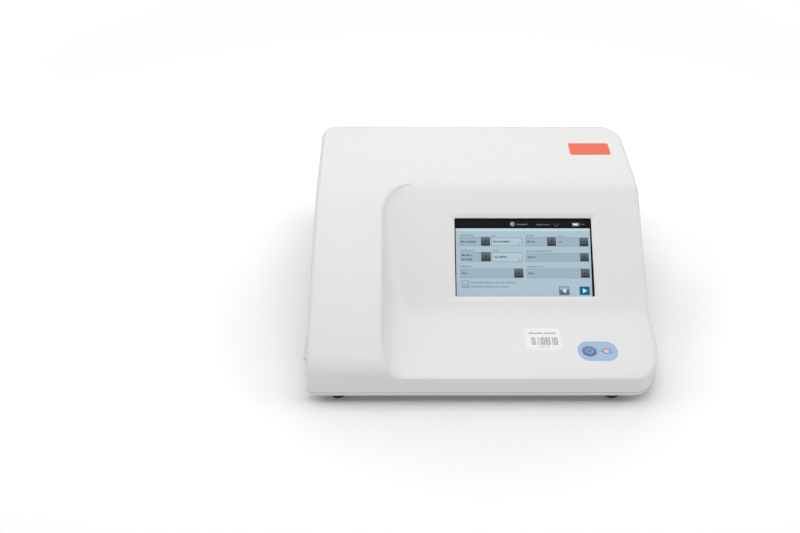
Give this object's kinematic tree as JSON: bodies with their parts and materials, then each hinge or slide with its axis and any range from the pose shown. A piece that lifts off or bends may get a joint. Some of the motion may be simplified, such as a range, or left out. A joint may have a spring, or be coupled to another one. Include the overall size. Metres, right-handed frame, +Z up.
{
  "type": "ecg machine",
  "caption": "Desktop electrocardiograph with a tilted touch screen in a scooped console, a power key on its front shelf and a page printer on a side drawer.",
  "frame": {"origin": "centre of the footprint on the table, under the rubber feet", "axes": "+Z up, -Y is the front that the user faces, +X is the user's right"},
  "size_m": [0.3838, 0.358, 0.1364],
  "materials": {
    "housing_white": "fine-textured moulded ABS",
    "drawer_white": "fine-textured moulded ABS",
    "black_rubber": "matt",
    "touch_screen": "glass over the lit display",
    "steel_sheet": "zinc-plated sheet",
    "steel_bright": "turned and plated",
    "pad_blue": "satin printed overlay",
    "key_blue": "satin",
    "lamp": "lit lens",
    "circuit_green": "solder mask",
    "roller_rubber": "ground silicone",
    "gear_nylon": "natural acetal",
    "brass": "machined",
    "paper_white": "coated thermal paper",
    "aluminium_bar": "extruded",
    "ceramic": "glazed alumina",
    "motor_black": "satin",
    "black_plastic": "moulded",
    "cover_grey": "moulded",
    "plated_shell": "tin-plated shell",
    "battery_blue": "shrink wrap",
    "flex_amber": "polyimide film"
  },
  "bodies": {
    "housing": {"top_housing": "housing_white", "base_housing": "housing_white", "screen_gasket": "black_rubber", "touch_glass": "touch_screen", "lcd_module": "steel_sheet", "screen_bracket": "steel_sheet", "screen_screws": "steel_bright", "power_pad": "pad_blue", "key_board": "circuit_green", "status_led": "lamp", "drawer_rails": "steel_sheet", "tear_bar": "steel_bright", "printer_frame": "steel_sheet", "head_pivot": "steel_bright", "head_springs": "steel_bright", "motor_bracket": "steel_sheet", "drive_motor": "motor_black", "chassis": "steel_sheet", "board_spacers": "brass", "main_board": "circuit_green", "power_supply": "circuit_green", "ecg_board": "circuit_green", "ecg_shield": "plated_shell", "io_board": "circuit_green", "rear_panel": "plated_shell", "mains_inlet": "black_plastic", "inlet_pins": "steel_bright", "earth_pin": "brass", "usb_ports": "plated_shell", "network_port": "plated_shell", "service_port": "plated_shell", "patient_port": "plated_shell", "patient_plate": "cover_grey", "battery_pack": "battery_blue", "battery_cover": "housing_white", "battery_screw": "steel_bright", "speaker": "black_plastic", "screen_flex": "flex_amber", "rubber_feet": "black_rubber", "housing_screws": "steel_bright", "chassis_screws": "steel_bright"},
    "key": {"power_key": "key_blue"},
    "drawer": {"paper_drawer": "drawer_white", "platen_bushes": "brass", "paper_pack": "paper_white", "latch_spring": "steel_bright"},
    "latch": {"drawer_latch": "drawer_white"},
    "roller": {"platen_roller": "roller_rubber", "platen_shaft": "steel_bright", "platen_gear": "gear_nylon"},
    "idler": {"idler_gear": "gear_nylon"},
    "pinion": {"motor_pinion": "brass"},
    "head": {"print_head": "aluminium_bar", "heater_strip": "ceramic"}
  },
  "joints": [
    {"name": "power_key_press", "type": "slide", "parent": "housing", "child": "key", "axis": [0, 0.061, -0.9981], "range_m": [0, 0.0006], "stiffness_N_per_m": 900, "springref_m": -0.0006},
    {"name": "drawer_slide", "type": "slide", "parent": "housing", "child": "drawer", "axis": [-1, 0, 0], "range_m": [0, 0.215]},
    {"name": "latch_lift", "type": "slide", "parent": "drawer", "child": "latch", "axis": [0, 0, 1], "range_m": [0, 0.003], "stiffness_N_per_m": 400, "springref_m": -0.002, "deforming": ["latch_spring"]},
    {"name": "roller_spin", "type": "hinge", "parent": "drawer", "child": "roller", "pos_m": [-0.17055, 0, 0.039], "axis": [0, 1, 0], "continuous": true},
    {"name": "idler_spin", "type": "hinge", "parent": "housing", "child": "idler", "pos_m": [-0.15275, 0.0855, 0.039], "axis": [0, 1, 0], "continuous": true},
    {"name": "pinion_spin", "type": "hinge", "parent": "housing", "child": "pinion", "pos_m": [-0.14336, 0.0855, 0.05018], "axis": [0, 1, 0], "continuous": true},
    {"name": "head_lift", "type": "hinge", "parent": "housing", "child": "head", "pos_m": [-0.13355, 0, 0.055], "axis": [0, 1, 0], "range_deg": [0, 3], "stiffness_Nm_per_rad": 3, "springref_deg": -8.59, "deforming": ["head_springs"]}
  ],
  "couplings": [
    {"joint": "idler_spin", "follows": "roller_spin", "ratio": -0.83333},
    {"joint": "pinion_spin", "follows": "roller_spin", "ratio": 1.6667}
  ]
}
